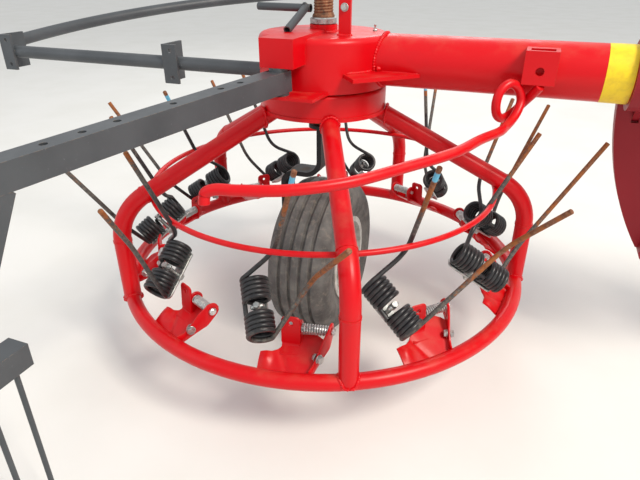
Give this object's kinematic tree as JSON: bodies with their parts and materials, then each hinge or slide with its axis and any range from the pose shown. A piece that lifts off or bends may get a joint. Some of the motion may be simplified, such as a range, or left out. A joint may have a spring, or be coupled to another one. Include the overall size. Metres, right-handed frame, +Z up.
{
  "type": "twin rotor hay rake",
  "caption": "Mounted twin rotor hay rake: red cross beam with gear drums, tined rotors on kneed spokes over wheels, crop rods, swinging gates and guard tubes.",
  "frame": {"origin": "on the ground, under the middle of the cross beam", "axes": "+X along the cross beam, +Y towards the hitch and the tractor, +Z up"},
  "size_m": [3.9926, 2.02, 1.184],
  "materials": {
    "red_paint": "bright red gloss paint, scratched and chipped to rust",
    "dark_red_paint": "darker red paint, worn",
    "grey_paint": "dark grey paint, satin",
    "black_paint": "black paint, satin",
    "tine_steel": "black spring steel, tips worn to rusty brown",
    "zinc": "galvanised steel",
    "bare_steel": "bare steel with a film of rust",
    "tyre_rubber": "weathered grey-black rubber",
    "rim_paint": "pale grey paint",
    "guard_plastic": "black moulded plastic"
  },
  "bodies": {
    "frame": {"main_beam": "red_paint", "gear_drum_left": "red_paint", "gear_drum_right": "red_paint", "centre_gearbox": "dark_red_paint", "headstock": "dark_red_paint", "link_lugs": "dark_red_paint", "brace_bars": "dark_red_paint", "lower_link_pins": "zinc", "cheek_plates": "dark_red_paint", "shaft_guard": "guard_plastic", "guard_hoop_left": "grey_paint", "guard_hoop_right": "grey_paint", "crop_rod_left": "red_paint", "crop_rod_right": "red_paint", "spindle_left": "bare_steel", "spindle_right": "bare_steel", "crank_left": "grey_paint", "crank_right": "grey_paint", "wheel_arm_left": "black_paint", "wheel_arm_right": "black_paint"},
    "drive_line": {"drive_shaft": "zinc"},
    "stand": {"stand_leg": "grey_paint"},
    "rotor_left": {"rotor_disc_left": "red_paint", "spoke_frame_left": "red_paint", "tine_brackets_left": "red_paint", "tine_clamps_left": "zinc", "latch_springs_left": "zinc", "tines_left": "tine_steel"},
    "wheel_left": {"tyre_left": "tyre_rubber", "rim_left": "rim_paint"},
    "gate_swing_left": {"gate_arm_left": "grey_paint", "gate_leg_left": "grey_paint", "gate_left": "grey_paint"},
    "rotor_right": {"rotor_disc_right": "red_paint", "spoke_frame_right": "red_paint", "tine_brackets_right": "red_paint", "tine_clamps_right": "zinc", "latch_springs_right": "zinc", "tines_right": "tine_steel"},
    "wheel_right": {"tyre_right": "tyre_rubber", "rim_right": "rim_paint"},
    "gate_swing_right": {"gate_arm_right": "grey_paint", "gate_leg_right": "grey_paint", "gate_right": "grey_paint"}
  },
  "joints": [
    {"name": "rotor_left_spin", "type": "hinge", "parent": "frame", "child": "rotor_left", "pos_m": [-0.98, 0, 0.6], "axis": [0, 0, 1], "continuous": true},
    {"name": "rotor_right_spin", "type": "hinge", "parent": "frame", "child": "rotor_right", "pos_m": [0.98, 0, 0.6], "axis": [0, 0, 1], "continuous": true},
    {"name": "wheel_left_spin", "type": "hinge", "parent": "frame", "child": "wheel_left", "pos_m": [-0.98, 0, 0.2025], "axis": [1, 0, 0], "continuous": true},
    {"name": "wheel_right_spin", "type": "hinge", "parent": "frame", "child": "wheel_right", "pos_m": [0.98, 0, 0.2025], "axis": [1, 0, 0], "continuous": true},
    {"name": "gate_left_swing", "type": "hinge", "parent": "frame", "child": "gate_swing_left", "pos_m": [-1.004, -0.189, 0.6915], "axis": [0, 0, 1], "range_deg": [-45, 17]},
    {"name": "gate_right_swing", "type": "hinge", "parent": "frame", "child": "gate_swing_right", "pos_m": [1.004, -0.189, 0.6915], "axis": [0, 0, -1], "range_deg": [-45, 17]},
    {"name": "drive_shaft_spin", "type": "hinge", "parent": "frame", "child": "drive_line", "pos_m": [0, 0.19, 0.716], "axis": [0, 1, 0], "continuous": true},
    {"name": "stand_slide", "type": "slide", "parent": "frame", "child": "stand", "axis": [0, 0, 1], "range_m": [0, 0.35]}
  ],
  "couplings": [
    {"joint": "rotor_right_spin", "follows": "rotor_left_spin", "ratio": -1},
    {"joint": "drive_shaft_spin", "follows": "rotor_left_spin", "ratio": 3}
  ]
}
